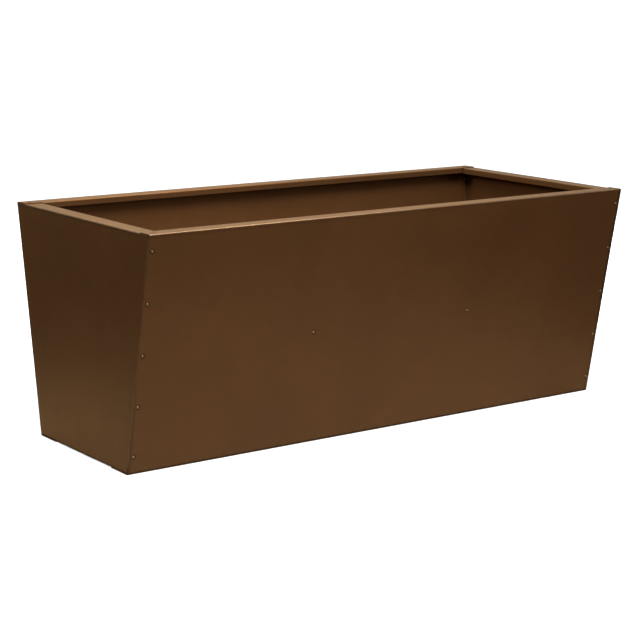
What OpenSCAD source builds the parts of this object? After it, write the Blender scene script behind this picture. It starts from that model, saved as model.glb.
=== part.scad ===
// Raised garden bed in folded sheet steel.
// Two leaning long panels, two upright end panels, two cross braces and a loose floor,
// joined at the corners, the rim and the braces with domed blind rivets.
// Origin: centre of the footprint on the ground. +X runs along the bed, front is -Y, +Z is up.

/* [Body] */
// Length over the end panels
bed_length = 1220; // [900:10:1600]
// Width over the rim, front to back
rim_width = 536; // [480:2:700]
// Width over the long panels where they meet the ground
base_width = 356; // [300:2:430]
// Height of the rim above the ground
bed_height = 480; // [360:2:640]

/* [Sheet metal] */
// Thickness of the steel sheet
sheet_t = 1.6; // [1.2:0.1:2.5]
// Inside radius of every fold
bend_r = 2; // [1:0.25:3]
// Notch left beside a fold where two folds meet
relief = 2; // [1:0.5:4]
// Clearance between edges that meet without touching
edge_gap = 1; // [0.5:0.25:2.5]
// Thickness of paint between faces that lie on each other
paint_t = 0.05; // [0.02:0.01:0.1]

/* [Rim] */
// Width of the flat rim that turns inwards
rim_flange = 38; // [32:1:50]
// Height of the lip that turns down at the rim's inner edge
rim_lip = 12.7; // [10:0.1:20]

/* [Base] */
// Width of the flange under each long panel
long_base_flange = 64; // [45:1:80]
// Width of the flange under each end panel
end_base_flange = 38; // [25:1:60]

/* [Corner seams] */
// Width of the flange on the end panel that lies behind the long panel
seam_flange = 20; // [18:0.5:30]
// Height of the notch left above the base folds at each corner
corner_notch = 12; // [4:1:20]
// Rivets down each seam
seam_rivets = 5; // [3:1:8]
// Centre of the seam rivets from the long panel's end edge
seam_rivet_inset = 9.5; // [9:0.25:11]
// Centre of the top seam rivet below the rim, along the slope
seam_rivet_top = 34; // [28:1:50]
// Centre of the bottom seam rivet above the ground, along the slope
seam_rivet_bottom = 37; // [28:1:50]

/* [Rivets] */
// Body diameter of the blind rivets
rivet_d = 4; // [3.2:0.1:4.2]
// Diameter of the domed head
rivet_head_d = 7.5; // [6.5:0.1:9]
// Height of the domed head
rivet_head_h = 1.5; // [1:0.1:2]
// Diameter of the upset end behind the sheets
rivet_tail_d = 5.8; // [5.2:0.1:6.4]
// Length of the rivet body behind the sheets
rivet_tail_l = 4.5; // [4:0.1:6]
// Diameter of the mandrel that pulled the rivet tight
mandrel_d = 2.2; // [1.6:0.1:2.4]
// Diameter of the mandrel's head
mandrel_head_d = 3.4; // [2.8:0.1:3.8]
// Length of the mandrel's head
mandrel_head_l = 1.6; // [1:0.1:2.5]
// Depth of the broken mandrel below the top of the head
mandrel_recess = 0.5; // [0.2:0.1:0.8]
// Play between the rivet body and its holes, and round the mandrel, on the radius
rivet_play = 0.05; // [0.02:0.01:0.1]

/* [Cross braces] */
// Width of each brace over its folded edges
brace_width = 34; // [28:1:50]
// Depth of the folded edges of the brace
brace_edge = 11; // [8:0.5:20]
// Height of the tab that lies on the long panel
brace_tab = 30; // [26:1:45]
// Centre of the brace rivet below the fold of its tab
brace_rivet_drop = 17; // [14:0.5:18]

/* [Floor] */
// Gap between the floor's edges and the folds round it
floor_gap = 2; // [1:0.5:4]
// Diameter of the drain holes
drain_d = 12; // [8:0.5:20]
// Drain holes along each row
drain_columns = 6; // [3:1:9]
// Rows of drain holes
drain_rows = 2; // [1:1:3]
// Distance between the rows of drain holes
drain_row_pitch = 110; // [60:5:120]

/* [Hidden] */
$fn = 48;
STEEL_COLOUR = "#7a5136";
RIVET_COLOUR = "#8a6a50";
MANDREL_COLOUR = "#6f6a66";

// Angle of the long panels from upright
lean = atan((rim_width - base_width) / 2 / bed_height);
// Outside radius of a fold
fold_r = bend_r + sheet_t;
// Length of a long panel's face along its slope
slope_l = bed_height / cos(lean);
// Two painted sheets lie under every rivet
grip = 2 * sheet_t + paint_t;
// Distance between seam rivets along the slope
seam_pitch = (slope_l - seam_rivet_top - seam_rivet_bottom) / (seam_rivets - 1);
// The brace rivets sit halfway between the top and bottom seam rivets
brace_rivet_s = (slope_l + seam_rivet_top - seam_rivet_bottom) / 2;
// The braces divide the bed's length in three
brace_x = bed_length / 6;
// Height of the top of the brace web
brace_z = bed_height - (brace_rivet_s - brace_rivet_drop) * cos(lean);
// Depth of the faces that lie against the long panels' inner side
inner_depth = sheet_t + paint_t;
// Level of the end panels' rim and base, inside the long panels' flanges
end_top = bed_height - inner_depth;
end_bottom = inner_depth;
// Half the flat length of the brace web between its tab folds
brace_web_half = half_width(brace_z, inner_depth) - setback(90 + lean);
// Half the flat width of the brace between its folded edges
brace_strap_half = brace_width / 2 - fold_r;
// Centre of a rim rivet from the outer edges of the corner
rim_rivet_inset = rim_flange / 2;
// Level of the underside of a rivet's head, above the outer sheet's face
head_z = paint_t;
// Levels of the shoulder and the end of a rivet's upset tail
tail_shoulder_z = -grip - paint_t;
tail_end_z = tail_shoulder_z - rivet_tail_l;
// Radius of the rivet holes
hole_r = rivet_d / 2 + rivet_play;
// Length by which a cutting tool runs past the sheet on each side
overrun = 1;
// Flats that follow the curve of each fold
fold_steps = 8;
// Share of a rivet tail's length that swells past the shank
tail_bulge = 0.8;

// Outside length that a fold of the given angle takes from each leg beside it
function setback(turn) = fold_r * tan(turn / 2);

// Half width of the bed at height z, moved in by a distance square to the leaning face
function half_width(z, inset = 0) =
    rim_width / 2 - (bed_height - z) * tan(lean) - inset / cos(lean);

// Slope positions of the seam rivets, from the rim down
function seam_positions() = [for (k = [0:seam_rivets - 1]) seam_rivet_top + k * seam_pitch];

// Places and frames

// Frame on the outer face of the front panel: X along the bed, -Y down the slope, +Z outwards
module on_front_face() {
    translate([0, -rim_width / 2, bed_height]) rotate([90 + lean, 0, 0]) children();
}

// The same frame with its origin at the centre of each seam rivet of one front corner
module at_seam_rivets(side) {
    on_front_face()
        for (s = seam_positions())
            translate([side * (bed_length / 2 - seam_rivet_inset), -s, 0]) children();
}

// The same frame with its origin at the front rivet of both braces
module at_brace_rivets() {
    on_front_face()
        for (side = [-1, 1])
            translate([side * brace_x, -brace_rivet_s, 0]) children();
}

// Upright frame at each rim corner rivet, on top of the rim
module at_rim_rivets() {
    for (x = [-1, 1], y = [-1, 1])
        translate([x * (bed_length / 2 - rim_rivet_inset),
                   y * (rim_width / 2 - rim_rivet_inset), bed_height])
            children();
}

// Folded sheet

// One face of a folded sheet as a line: straight legs joined by left-hand folds.
// It starts at p along heading a; depth is the distance of the face outside the folds' inner face.
function face_line(legs, turns, depth, p = [0, 0], a = 0, k = 0) =
    let (ahead = [cos(a), sin(a)], left = [-sin(a), cos(a)], leg_end = p + legs[k] * ahead)
    k == len(legs) - 1
        ? [p - depth * left, leg_end - depth * left]
        : let (centre = leg_end + bend_r * left, next_a = a + turns[k])
          concat(
              [p - depth * left],
              [for (i = [0:fold_steps - 1])
                  let (b = a + turns[k] * i / fold_steps)
                  centre + (bend_r + depth) * [sin(b), -cos(b)]],
              face_line(legs, turns, depth, centre + bend_r * [sin(next_a), -cos(next_a)],
                        next_a, k + 1));

// Section of a folded sheet, with the inner face of its first leg on the X axis and the metal below
module folded_section(legs, turns) {
    inner = face_line(legs, turns, 0);
    outer = face_line(legs, turns, sheet_t);
    polygon(concat(inner, [for (i = [len(outer) - 1:-1:0]) outer[i]]));
}

// Section of a long panel across the bed: lip, rim, leaning face and base flange
module long_panel_section() {
    rim_turn = 90 + lean;
    base_turn = 90 - lean;
    translate([-rim_width / 2 + rim_flange - sheet_t, bed_height - rim_lip]) rotate(90)
        folded_section(
            [rim_lip - setback(90),
             rim_flange - setback(90) - setback(rim_turn),
             slope_l - setback(rim_turn) - setback(base_turn),
             long_base_flange - setback(base_turn)],
            [90, rim_turn, base_turn]);
}

// Section of the left end panel along the bed: lip, rim, upright face and base flange
module end_panel_section() {
    translate([-bed_length / 2 + rim_flange - sheet_t, end_top - rim_lip]) rotate(90)
        folded_section(
            [rim_lip - setback(90),
             rim_flange - 2 * setback(90),
             end_top - end_bottom - 2 * setback(90),
             end_base_flange - setback(90)],
            [90, 90, 90]);
}

// Sheet parts

// Block between two corners
module block(low, high) {
    translate(low) cube(high - low);
}

// Front panel, full length, with its rim lip cut back where the end panels' rims pass under it
module long_panel() {
    lip_fold_y = -rim_width / 2 + rim_flange - fold_r;
    lip_end_x = bed_length / 2 - rim_flange - edge_gap;
    difference() {
        translate([-bed_length / 2, 0, 0]) rotate([90, 0, 90])
            linear_extrude(bed_length) long_panel_section();
        for (side = [0, 1])
            mirror([side, 0, 0])
                block([lip_end_x, lip_fold_y, bed_height - rim_lip - overrun],
                      [bed_length / 2 + overrun, lip_fold_y + fold_r + overrun, bed_height + overrun]);
        for (side = [-1, 1])
            at_seam_rivets(side) rivet_hole();
        at_brace_rivets() rivet_hole();
        at_rim_rivets() rivet_hole();
    }
}

// Outline of the end panel's face seen along the bed, clear of the long panels by an inset
module end_outline(inset) {
    polygon([
        [-half_width(end_bottom, inset), end_bottom], [half_width(end_bottom, inset), end_bottom],
        [half_width(end_top, inset), end_top], [-half_width(end_top, inset), end_top]
    ]);
}

// Flange that the left end panel turns behind the front panel, with its fold and a strip of the
// face beside it; relief notches part it from the folds of the rim and the base
module seam_flange_strip() {
    fold_reach = (inner_depth + fold_r) / cos(lean);
    strip_l = slope_l - 2 * fold_reach - relief - corner_notch;
    on_front_face()
        translate([-bed_length / 2 + seam_flange, -fold_reach - relief, -inner_depth - sheet_t])
            rotate([90, 0, 0]) linear_extrude(strip_l) rotate(180)
                folded_section([seam_flange - setback(90), relief], [90]);
}

// Left end panel, folded in behind the long panels at both seams
module end_panel() {
    lip_fold_x = -bed_length / 2 + rim_flange - fold_r;
    lip_end_y = rim_width / 2 - rim_flange - edge_gap;
    difference() {
        union() {
            intersection() {
                translate([0, rim_width / 2, 0]) rotate([90, 0, 0])
                    linear_extrude(rim_width) end_panel_section();
                translate([-bed_length / 2 - overrun, 0, 0]) rotate([90, 0, 90])
                    linear_extrude(bed_length / 2) end_outline(inner_depth + fold_r);
            }
            seam_flange_strip();
            mirror([0, 1, 0]) seam_flange_strip();
        }
        for (side = [0, 1])
            mirror([0, side, 0])
                block([lip_fold_x, lip_end_y, end_top - rim_lip - overrun],
                      [lip_fold_x + fold_r + overrun, rim_width / 2, end_top + overrun]);
        at_seam_rivets(-1) rivet_hole();
        mirror([0, 1, 0]) at_seam_rivets(-1) rivet_hole();
        at_rim_rivets() rivet_hole();
    }
}

// Half section of a brace across the bed, from the middle of its web to the end of one tab
module brace_tab_section() {
    tab_turn = 90 + lean;
    translate([0, brace_z - sheet_t]) mirror([0, 1])
        folded_section([brace_web_half, brace_tab - setback(tab_turn)], [tab_turn]);
}

// Half section of a brace along the bed, from the middle of its web to one folded edge
module brace_edge_section() {
    translate([0, brace_z - sheet_t]) mirror([0, 1])
        folded_section([brace_strap_half, brace_edge - setback(90)], [90]);
}

// Cross brace: a strap with a tab on each long panel and its long edges folded down
module cross_brace() {
    edge_half = brace_web_half - relief;
    difference() {
        union() {
            for (side = [0, 1])
                mirror([0, side, 0])
                    translate([-brace_strap_half, 0, 0]) rotate([90, 0, 90])
                        linear_extrude(2 * brace_strap_half) brace_tab_section();
            for (side = [0, 1])
                mirror([side, 0, 0])
                    translate([0, edge_half, 0]) rotate([90, 0, 0])
                        linear_extrude(2 * edge_half) brace_edge_section();
        }
        for (side = [0, 1])
            mirror([0, side, 0])
                on_front_face() translate([0, -brace_rivet_s, 0]) rivet_hole();
    }
}

// Loose floor with drain holes, lying on the long panels' base flanges
module floor_sheet() {
    size_x = bed_length - 2 * end_base_flange - 2 * floor_gap;
    size_y = 2 * (half_width(inner_depth, sheet_t) - bend_r - floor_gap);
    hole_pitch = size_x / drain_columns;
    difference() {
        translate([-size_x / 2, -size_y / 2, inner_depth]) cube([size_x, size_y, sheet_t]);
        for (i = [0:drain_columns - 1], j = [0:drain_rows - 1])
            translate([(i - (drain_columns - 1) / 2) * hole_pitch,
                       (j - (drain_rows - 1) / 2) * drain_row_pitch, inner_depth - overrun])
                cylinder(h = sheet_t + 2 * overrun, d = drain_d);
    }
}

// Rivets

// Hole for a rivet through both sheets, from the outer face inwards
module rivet_hole() {
    translate([0, 0, -grip - overrun]) cylinder(h = grip + 2 * overrun, r = hole_r);
}

// Body of a set blind rivet: domed head, shank and upset tail round the mandrel's bore
module rivet_body() {
    head_a = rivet_head_d / 2;
    dome_r = (head_a * head_a + rivet_head_h * rivet_head_h) / (2 * rivet_head_h);
    bulge_r = rivet_tail_l * tail_bulge / 2;
    bulge_x = rivet_tail_d / 2 - bulge_r;
    bore_r = mandrel_d / 2 + rivet_play;
    rotate_extrude()
        difference() {
            union() {
                intersection() {
                    translate([0, head_z + rivet_head_h - dome_r]) circle(dome_r);
                    translate([0, head_z]) square([head_a, rivet_head_h]);
                }
                translate([0, tail_end_z])
                    square([rivet_d / 2, head_z + rivet_head_h / 2 - tail_end_z]);
                translate([0, tail_shoulder_z - 2 * bulge_r]) square([bulge_x, 2 * bulge_r]);
                translate([bulge_x, tail_shoulder_z - bulge_r]) circle(bulge_r);
            }
            translate([bore_r - rivet_head_d, tail_end_z - overrun])
                square([rivet_head_d, head_z + rivet_head_h - tail_end_z + 2 * overrun]);
        }
}

// Mandrel left in a set rivet: its head behind the tail and its broken stem inside the bore
module mandrel() {
    stem_top = head_z + rivet_head_h - mandrel_recess;
    rotate_extrude() {
        translate([0, tail_end_z]) square([mandrel_d / 2, stem_top - tail_end_z]);
        intersection() {
            translate([0, tail_end_z - mandrel_head_l])
                square([mandrel_head_d / 2, mandrel_head_l]);
            translate([0, tail_end_z]) circle(mandrel_head_d / 2);
        }
    }
}

// Named parts

module front_panel() color(STEEL_COLOUR) long_panel();
module back_panel() color(STEEL_COLOUR) mirror([0, 1, 0]) long_panel();
module left_end_panel() color(STEEL_COLOUR) end_panel();
module right_end_panel() color(STEEL_COLOUR) mirror([1, 0, 0]) end_panel();
module floor_panel() color(STEEL_COLOUR) floor_sheet();
module left_cross_brace() color(STEEL_COLOUR) translate([-brace_x, 0, 0]) cross_brace();
module right_cross_brace() color(STEEL_COLOUR) translate([brace_x, 0, 0]) cross_brace();

module front_left_seam_rivets() color(RIVET_COLOUR) at_seam_rivets(-1) rivet_body();
module front_right_seam_rivets() color(RIVET_COLOUR) at_seam_rivets(1) rivet_body();
module back_left_seam_rivets() color(RIVET_COLOUR) mirror([0, 1, 0]) at_seam_rivets(-1) rivet_body();
module back_right_seam_rivets() color(RIVET_COLOUR) mirror([0, 1, 0]) at_seam_rivets(1) rivet_body();
module front_brace_rivets() color(RIVET_COLOUR) at_brace_rivets() rivet_body();
module back_brace_rivets() color(RIVET_COLOUR) mirror([0, 1, 0]) at_brace_rivets() rivet_body();
module rim_corner_rivets() color(RIVET_COLOUR) at_rim_rivets() rivet_body();

module front_left_seam_mandrels() color(MANDREL_COLOUR) at_seam_rivets(-1) mandrel();
module front_right_seam_mandrels() color(MANDREL_COLOUR) at_seam_rivets(1) mandrel();
module back_left_seam_mandrels() color(MANDREL_COLOUR) mirror([0, 1, 0]) at_seam_rivets(-1) mandrel();
module back_right_seam_mandrels() color(MANDREL_COLOUR) mirror([0, 1, 0]) at_seam_rivets(1) mandrel();
module front_brace_mandrels() color(MANDREL_COLOUR) at_brace_rivets() mandrel();
module back_brace_mandrels() color(MANDREL_COLOUR) mirror([0, 1, 0]) at_brace_rivets() mandrel();
module rim_corner_mandrels() color(MANDREL_COLOUR) at_rim_rivets() mandrel();

front_panel();
back_panel();
left_end_panel();
right_end_panel();
floor_panel();
left_cross_brace();
right_cross_brace();
front_left_seam_rivets();
front_right_seam_rivets();
back_left_seam_rivets();
back_right_seam_rivets();
front_brace_rivets();
back_brace_rivets();
rim_corner_rivets();
front_left_seam_mandrels();
front_right_seam_mandrels();
back_left_seam_mandrels();
back_right_seam_mandrels();
front_brace_mandrels();
back_brace_mandrels();
rim_corner_mandrels();
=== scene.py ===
"""Raised garden bed in folded, powder-coated sheet steel: its looks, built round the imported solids.

Lengths are in metres in the row frame: X runs along the bed, the front faces -Y and the ground
lies at Z = 0. Every sheet is grown along its outer face, leg by leg and fold by fold, and gets its
thickness inwards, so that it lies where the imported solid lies.
"""

import logging
import math
from collections.abc import Callable, Iterable, Sequence
from dataclasses import dataclass, field
from enum import Enum

import bmesh
import bpy
from bmesh.types import BMEdge, BMesh, BMVert
from bpy.types import Material, Node, NodeSocket, NodeTree, Object, bpy_prop_collection
from mathutils import Matrix, Vector


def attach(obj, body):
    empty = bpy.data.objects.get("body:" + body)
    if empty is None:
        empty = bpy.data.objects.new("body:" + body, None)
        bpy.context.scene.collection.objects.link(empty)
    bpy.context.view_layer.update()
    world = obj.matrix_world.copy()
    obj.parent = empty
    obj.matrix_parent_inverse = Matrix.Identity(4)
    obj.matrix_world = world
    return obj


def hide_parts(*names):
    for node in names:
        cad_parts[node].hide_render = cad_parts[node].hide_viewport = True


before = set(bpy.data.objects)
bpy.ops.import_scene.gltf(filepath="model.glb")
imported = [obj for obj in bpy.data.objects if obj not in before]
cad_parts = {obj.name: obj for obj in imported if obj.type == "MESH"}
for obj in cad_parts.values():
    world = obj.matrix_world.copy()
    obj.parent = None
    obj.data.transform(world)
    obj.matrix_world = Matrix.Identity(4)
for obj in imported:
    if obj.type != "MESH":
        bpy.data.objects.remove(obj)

LOG = logging.getLogger("garden_bed")
BODY = "root"
# Vertex attribute, above 0 where the coat is rubbed, with a paler painted highlight on fold crowns,
# and below 0 where painted shade darkens it round holes
WEAR_AND_SHADE = "wear"
# Steps round each fold
FOLD_STEPS = 8
# Distance of the supporting grid line beside each fold
SUPPORT = 0.0007
# Share of the full rubbing and painted highlight that the lip's sheltered fold gets
LIP_WEAR_AND_HIGHLIGHT = 0.4
# Distance within which a point lies on a line or a face
SNAP = 2e-5
# Depth within which a face belongs to the leg that is punched
LEG_DEPTH = 0.002
# Distance within which a cut uses a point that is there, and two points are one
CUT_SNAP, MERGE = 1e-6, 2e-6
# Place of the cut edges' finish among a sheet's materials
CUT_EDGE = 1
# Width of the break on a sheet's edges, and the least angle of an edge that gets it
EDGE_BREAK, SHARP = 0.00025, math.radians(50)
# Radius, level and wear of each point that a lathe turns
Profile = list[tuple[float, float, float]]
X_AXIS = Vector((1.0, 0.0, 0.0))
Y_AXIS = Vector((0.0, 1.0, 0.0))
Z_AXIS = Vector((0.0, 0.0, 1.0))


class Slot(Enum):
    """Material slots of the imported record."""

    PANELS = "bronze_panels"
    RIVETS = "bronze_rivets"
    MANDRELS = "mandrel_steel"


class Side(Enum):
    """Long side of the bed."""

    FRONT = "front"
    BACK = "back"

    @property
    def sign(self) -> int:
        """Sign of the side's place on the Y axis."""
        return -1 if self is Side.FRONT else 1


class End(Enum):
    """Short end of the bed."""

    LEFT = "left"
    RIGHT = "right"

    @property
    def sign(self) -> int:
        """Sign of the end's place on the X axis."""
        return -1 if self is End.LEFT else 1


@dataclass(frozen=True)
class BedSizes:
    """Driving sizes of the bed, and what follows from them.

    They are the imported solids' sizes, but for the bend, which is drawn a millimetre tighter.
    """

    length: float = 1.220
    rim_width: float = 0.536
    base_width: float = 0.356
    height: float = 0.480
    sheet: float = 0.0016
    bend: float = 0.001
    relief: float = 0.002
    edge_gap: float = 0.001
    paint: float = 0.00005
    rim: float = 0.038
    lip: float = 0.0127
    long_base: float = 0.064
    end_base: float = 0.038
    seam_flange: float = 0.020
    corner_notch: float = 0.012
    seam_inset: float = 0.0095
    seam_top: float = 0.034
    seam_bottom: float = 0.037
    seam_rivets: int = 5
    brace_width: float = 0.034
    brace_edge: float = 0.011
    brace_tab: float = 0.030
    brace_drop: float = 0.017
    floor_gap: float = 0.002
    drain_columns: int = 6
    drain_rows: int = 2
    drain_row_pitch: float = 0.110

    @property
    def lean(self) -> float:
        """Angle of the long panels from upright, in radians."""
        return math.atan((self.rim_width - self.base_width) / 2 / self.height)

    @property
    def fold(self) -> float:
        """Outside radius of a fold."""
        return self.bend + self.sheet

    @property
    def slope(self) -> float:
        """Length of a long panel's face from the rim to the ground."""
        return self.height / math.cos(self.lean)

    @property
    def inner_depth(self) -> float:
        """Depth of the faces that lie against the long panels' inner side."""
        return self.sheet + self.paint

    @property
    def end_top(self) -> float:
        """Level of the end panels' rim."""
        return self.height - self.inner_depth

    @property
    def end_inset(self) -> float:
        """Depth at which the end panels' flat faces stop beside their seam folds."""
        return self.inner_depth + self.fold

    @property
    def seam_places(self) -> list[float]:
        """Places of the seam rivets down the slope, from the rim."""
        pitch = (self.slope - self.seam_top - self.seam_bottom) / (self.seam_rivets - 1)
        return [self.seam_top + k * pitch for k in range(self.seam_rivets)]

    @property
    def brace_place(self) -> float:
        """Place of the brace rivets down the slope, from the rim."""
        return (self.slope + self.seam_top - self.seam_bottom) / 2

    @property
    def brace_x(self) -> float:
        """Distance of each brace from the middle of the bed."""
        return self.length / 6

    @property
    def brace_z(self) -> float:
        """Height of the top of the braces' webs."""
        return self.height - (self.brace_place - self.brace_drop) * math.cos(self.lean)

    @property
    def seam_x(self) -> float:
        """Distance of the seam rivets from the middle of the bed."""
        return self.length / 2 - self.seam_inset

    @property
    def rim_rivet(self) -> tuple[float, float]:
        """Distances of a rim rivet from the middle of the bed, along it and across it."""
        return self.length / 2 - self.rim / 2, self.rim_width / 2 - self.rim / 2

    @property
    def lip_ends(self) -> tuple[float, float]:
        """Distances from the middle at which the lips of the long and the end panels stop."""
        return (self.length / 2 - self.rim - self.edge_gap,
                self.rim_width / 2 - self.rim - self.edge_gap)

    def setback(self, turn: float) -> float:
        """Length that a fold of this angle takes from each leg beside it."""
        return self.fold * math.tan(turn / 2)

    def half_width(self, z: float, inset: float = 0.0) -> float:
        """Half width of the bed at a height.

        Args:
            z: Height above the ground.
            inset: Depth square to the leaning faces.

        Returns:
            The distance of the leaning face from the middle of the bed.
        """
        return (self.rim_width / 2 - (self.height - z) * math.tan(self.lean)
                - inset / math.cos(self.lean))

    def face_normal(self, sign: int) -> Vector:
        """Outward direction of the leaning face on this side."""
        return Vector((0.0, sign * math.cos(self.lean), -math.sin(self.lean)))

    def on_face(self, sign: int, x: float, place: float, depth: float = 0.0) -> Vector:
        """A point on a leaning face.

        Args:
            sign: -1 for the front, 1 for the back.
            x: Place along the bed.
            place: Distance down the slope, from the rim.
            depth: Depth behind the outer face.

        Returns:
            The point in the row frame.
        """
        edge = Vector((x, sign * self.rim_width / 2, self.height))
        down = Vector((0.0, -sign * math.sin(self.lean), -math.cos(self.lean)))
        return edge + down * place - self.face_normal(sign) * depth


SIZES = BedSizes()


# Sheet metal work

@dataclass
class Brake:
    """Press brake: grows a sheet along its outer face from a row of free edges.

    The row is found by its place. It is every free edge on the line through point along
    heading x inward, within half_span of point.
    """

    mesh: BMesh
    point: Vector
    heading: Vector
    inward: Vector
    half_span: float
    radius: float = SIZES.fold

    @property
    def axis(self) -> Vector:
        """Direction of the row and of the next fold's line."""
        return self.heading.cross(self.inward)

    def _on_row(self, vert: BMVert) -> bool:
        """Tells whether a vertex lies on the present row."""
        step = vert.co - self.point
        return (abs(step.dot(self.heading)) < SNAP and abs(step.dot(self.inward)) < SNAP
                and abs(step.dot(self.axis)) < self.half_span + SNAP)

    def row(self) -> list[BMEdge]:
        """Free edges of the present row."""
        return [edge for edge in self.mesh.edges
                if len(edge.link_faces) < 2 and all(self._on_row(vert) for vert in edge.verts)]

    def leg(self, length: float, cuts: Iterable[float] = ()) -> None:
        """Grow a flat leg along the heading, with a supporting line beside each fold.

        Args:
            length: Length of the leg.
            cuts: Further places along the leg where the grid gets a line.
        """
        places = sorted({*cuts, SUPPORT, length - SUPPORT, length})
        done = 0.0
        for place in places:
            if place - done < SUPPORT / 4:
                continue
            grown = bmesh.ops.extrude_edge_only(self.mesh, edges=self.row())
            verts = [item for item in grown["geom"] if isinstance(item, BMVert)]
            bmesh.ops.translate(self.mesh, verts=verts, vec=self.heading * (place - done))
            self.point = self.point + self.heading * (place - done)
            done = place

    def fold(self, turn: float, rubbed: float = 1.0) -> None:
        """Fold the sheet towards its inner side, and mark the crown of the fold as worn, with a paler
        painted highlight.

        Args:
            turn: Angle of the fold, in radians.
            rubbed: How much the crown is rubbed and lightened as a painted highlight, up to 1.
        """
        before = set(self.mesh.verts)
        row = self.row()
        centre = self.point + self.inward * self.radius
        ends = {vert for edge in row for vert in edge.verts}
        bmesh.ops.spin(self.mesh, geom=[*row, *ends], cent=centre, axis=self.axis, angle=turn,
                       steps=FOLD_STEPS, use_merge=False, use_duplicate=False)
        wear = self.mesh.verts.layers.float[WEAR_AND_SHADE]
        for vert in set(self.mesh.verts) - before:
            arm = vert.co - centre
            angle = math.atan2(arm.dot(self.heading), -arm.dot(self.inward))
            vert[wear] = rubbed * max(0.0, math.sin(math.pi * min(angle / turn, 1.0)))
        heading, inward = self.heading, self.inward
        self.heading = heading * math.cos(turn) + inward * math.sin(turn)
        self.inward = inward * math.cos(turn) - heading * math.sin(turn)
        self.point = centre - self.inward * self.radius


@dataclass(frozen=True)
class Punch:
    """Punch for a round hole, with the rings of metal that it presses in round the hole.

    Each ring has a radius, the depth that it is pressed in and the painted shade that darkens the
    coat there. The last one is the edge of the hole.
    """

    tile: float
    rings: tuple[tuple[float, float, float], ...]
    side_cuts: int = 3

    def lines(self, place: float) -> tuple[float, float]:
        """The two grid lines that the punch needs beside a hole's centre."""
        return place - self.tile, place + self.tile

    def strike(self, mesh: BMesh, centre: Vector, out: Vector, along: Vector) -> None:
        """Punch one hole in a flat leg whose grid has lines on all sides of the tile.

        Args:
            mesh: The sheet.
            centre: Centre of the hole on the outer face.
            out: Outward direction of that face.
            along: A direction of the grid lines.
        """
        inside = [face for face in mesh.faces
                  if self._covers(face.calc_center_median() - centre, out, along)]
        bmesh.ops.delete(mesh, geom=inside, context="FACES")
        bmesh.ops.subdivide_edges(mesh, edges=self._outline(mesh, centre, out, along),
                                  cuts=self.side_cuts)
        loop = self._outline(mesh, centre, out, along)
        wear = mesh.verts.layers.float[WEAR_AND_SHADE]
        for radius, depth, ring_shade in self.rings:
            grown = bmesh.ops.extrude_edge_only(mesh, edges=loop)
            verts = [item for item in grown["geom"] if isinstance(item, BMVert)]
            for vert in verts:
                arm = vert.co - centre
                arm -= out * arm.dot(out)
                vert.co = centre + arm.normalized() * radius - out * depth
                # Painted shade: the ring's darkening is stored as negative wear
                vert[wear] = -ring_shade
            fresh = set(verts)
            loop = [item for item in grown["geom"]
                    if isinstance(item, BMEdge) and all(vert in fresh for vert in item.verts)]

    def _outline(self, mesh: BMesh, centre: Vector, out: Vector, along: Vector) -> list[BMEdge]:
        """Free edges round the tile once its faces are gone."""
        return [edge for edge in mesh.edges if len(edge.link_faces) == 1
                and all(self._covers(vert.co - centre, out, along) for vert in edge.verts)]

    def _covers(self, step: Vector, out: Vector, along: Vector) -> bool:
        """Tells whether a point this far from the hole's centre lies in the tile."""
        reach = self.tile + SNAP
        return (abs(step.dot(out)) < LEG_DEPTH and abs(step.dot(along)) < reach
                and abs(step.dot(out.cross(along))) < reach)


# Painted shade: each ring's third value darkens the coat round the hole
HEAD_PUNCH = Punch(0.008, ((0.0070, 0.0, 0.0), (0.0056, 0.00006, 0.4), (0.0047, 0.00018, 1.0),
                           (0.0038, 0.00025, 1.0), (0.00205, 0.00025, 0.5)))
TAIL_PUNCH = Punch(0.005, ((0.0044, 0.0, 0.0), (0.0032, 0.00003, 0.5), (0.00205, 0.00008, 0.5)))
DRAIN_PUNCH = Punch(0.013, ((0.0115, 0.0, 0.0), (0.0098, 0.0002, 0.2), (0.0082, 0.0008, 0.5),
                            (0.0070, 0.0011, 0.4), (0.0060, 0.0012, 0.2)))


def start_sheet(first: Vector, last: Vector) -> BMesh:
    """Start a sheet as one edge, to be grown by a brake.

    Args:
        first: One end of the edge.
        last: The other end.

    Returns:
        The mesh, with the layer that marks wear and dirt.
    """
    mesh = bmesh.new()
    mesh.verts.layers.float.new(WEAR_AND_SHADE)
    mesh.edges.new([mesh.verts.new(first), mesh.verts.new(last)])
    return mesh


def scribe(mesh: BMesh, place: Vector, across: Vector,
           within: Callable[[Vector], bool] | None = None) -> None:
    """Split the faces along a plane, so that the grid has a line there.

    Args:
        mesh: The sheet.
        place: A point on the line.
        across: Direction square to the line.
        within: Test of a face's centre that limits the line to some faces.
    """
    faces = [face for face in mesh.faces if within is None or within(face.calc_center_median())]
    edges = {edge for face in faces for edge in face.edges}
    verts = {vert for edge in edges for vert in edge.verts}
    bmesh.ops.bisect_plane(mesh, geom=[*verts, *edges, *faces], dist=CUT_SNAP,
                           plane_co=place, plane_no=across)


def grid_lines(start: float, stop: float, pitch: float, fixed: Iterable[float]) -> list[float]:
    """Places for even grid lines that keep clear of some fixed ones, and the fixed ones.

    Args:
        start: Start of the range, without a line.
        stop: End of the range, without a line.
        pitch: Greatest distance between the even lines.
        fixed: Places that must have a line.

    Returns:
        All the places in order.
    """
    fixed = sorted(place for place in fixed if start < place < stop)
    count = math.ceil((stop - start) / pitch)
    even = [start + (stop - start) * k / count for k in range(1, count)]
    clear = [place for place in even
             if all(abs(place - other) > pitch / 4 for other in (*fixed, start, stop))]
    return sorted([*fixed, *clear])


def swell(share: float, bays: int) -> float:
    """Shape of the slight swell that thin sheet takes between its fixed lines.

    Args:
        share: Place along the sheet, from 0 to 1.
        bays: Number of bays between fixed lines.

    Returns:
        A factor from -1 to 1 that leaves each fixed line flat.
    """
    wave = math.sin(math.pi * bays * share)
    return wave * abs(wave)


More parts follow.
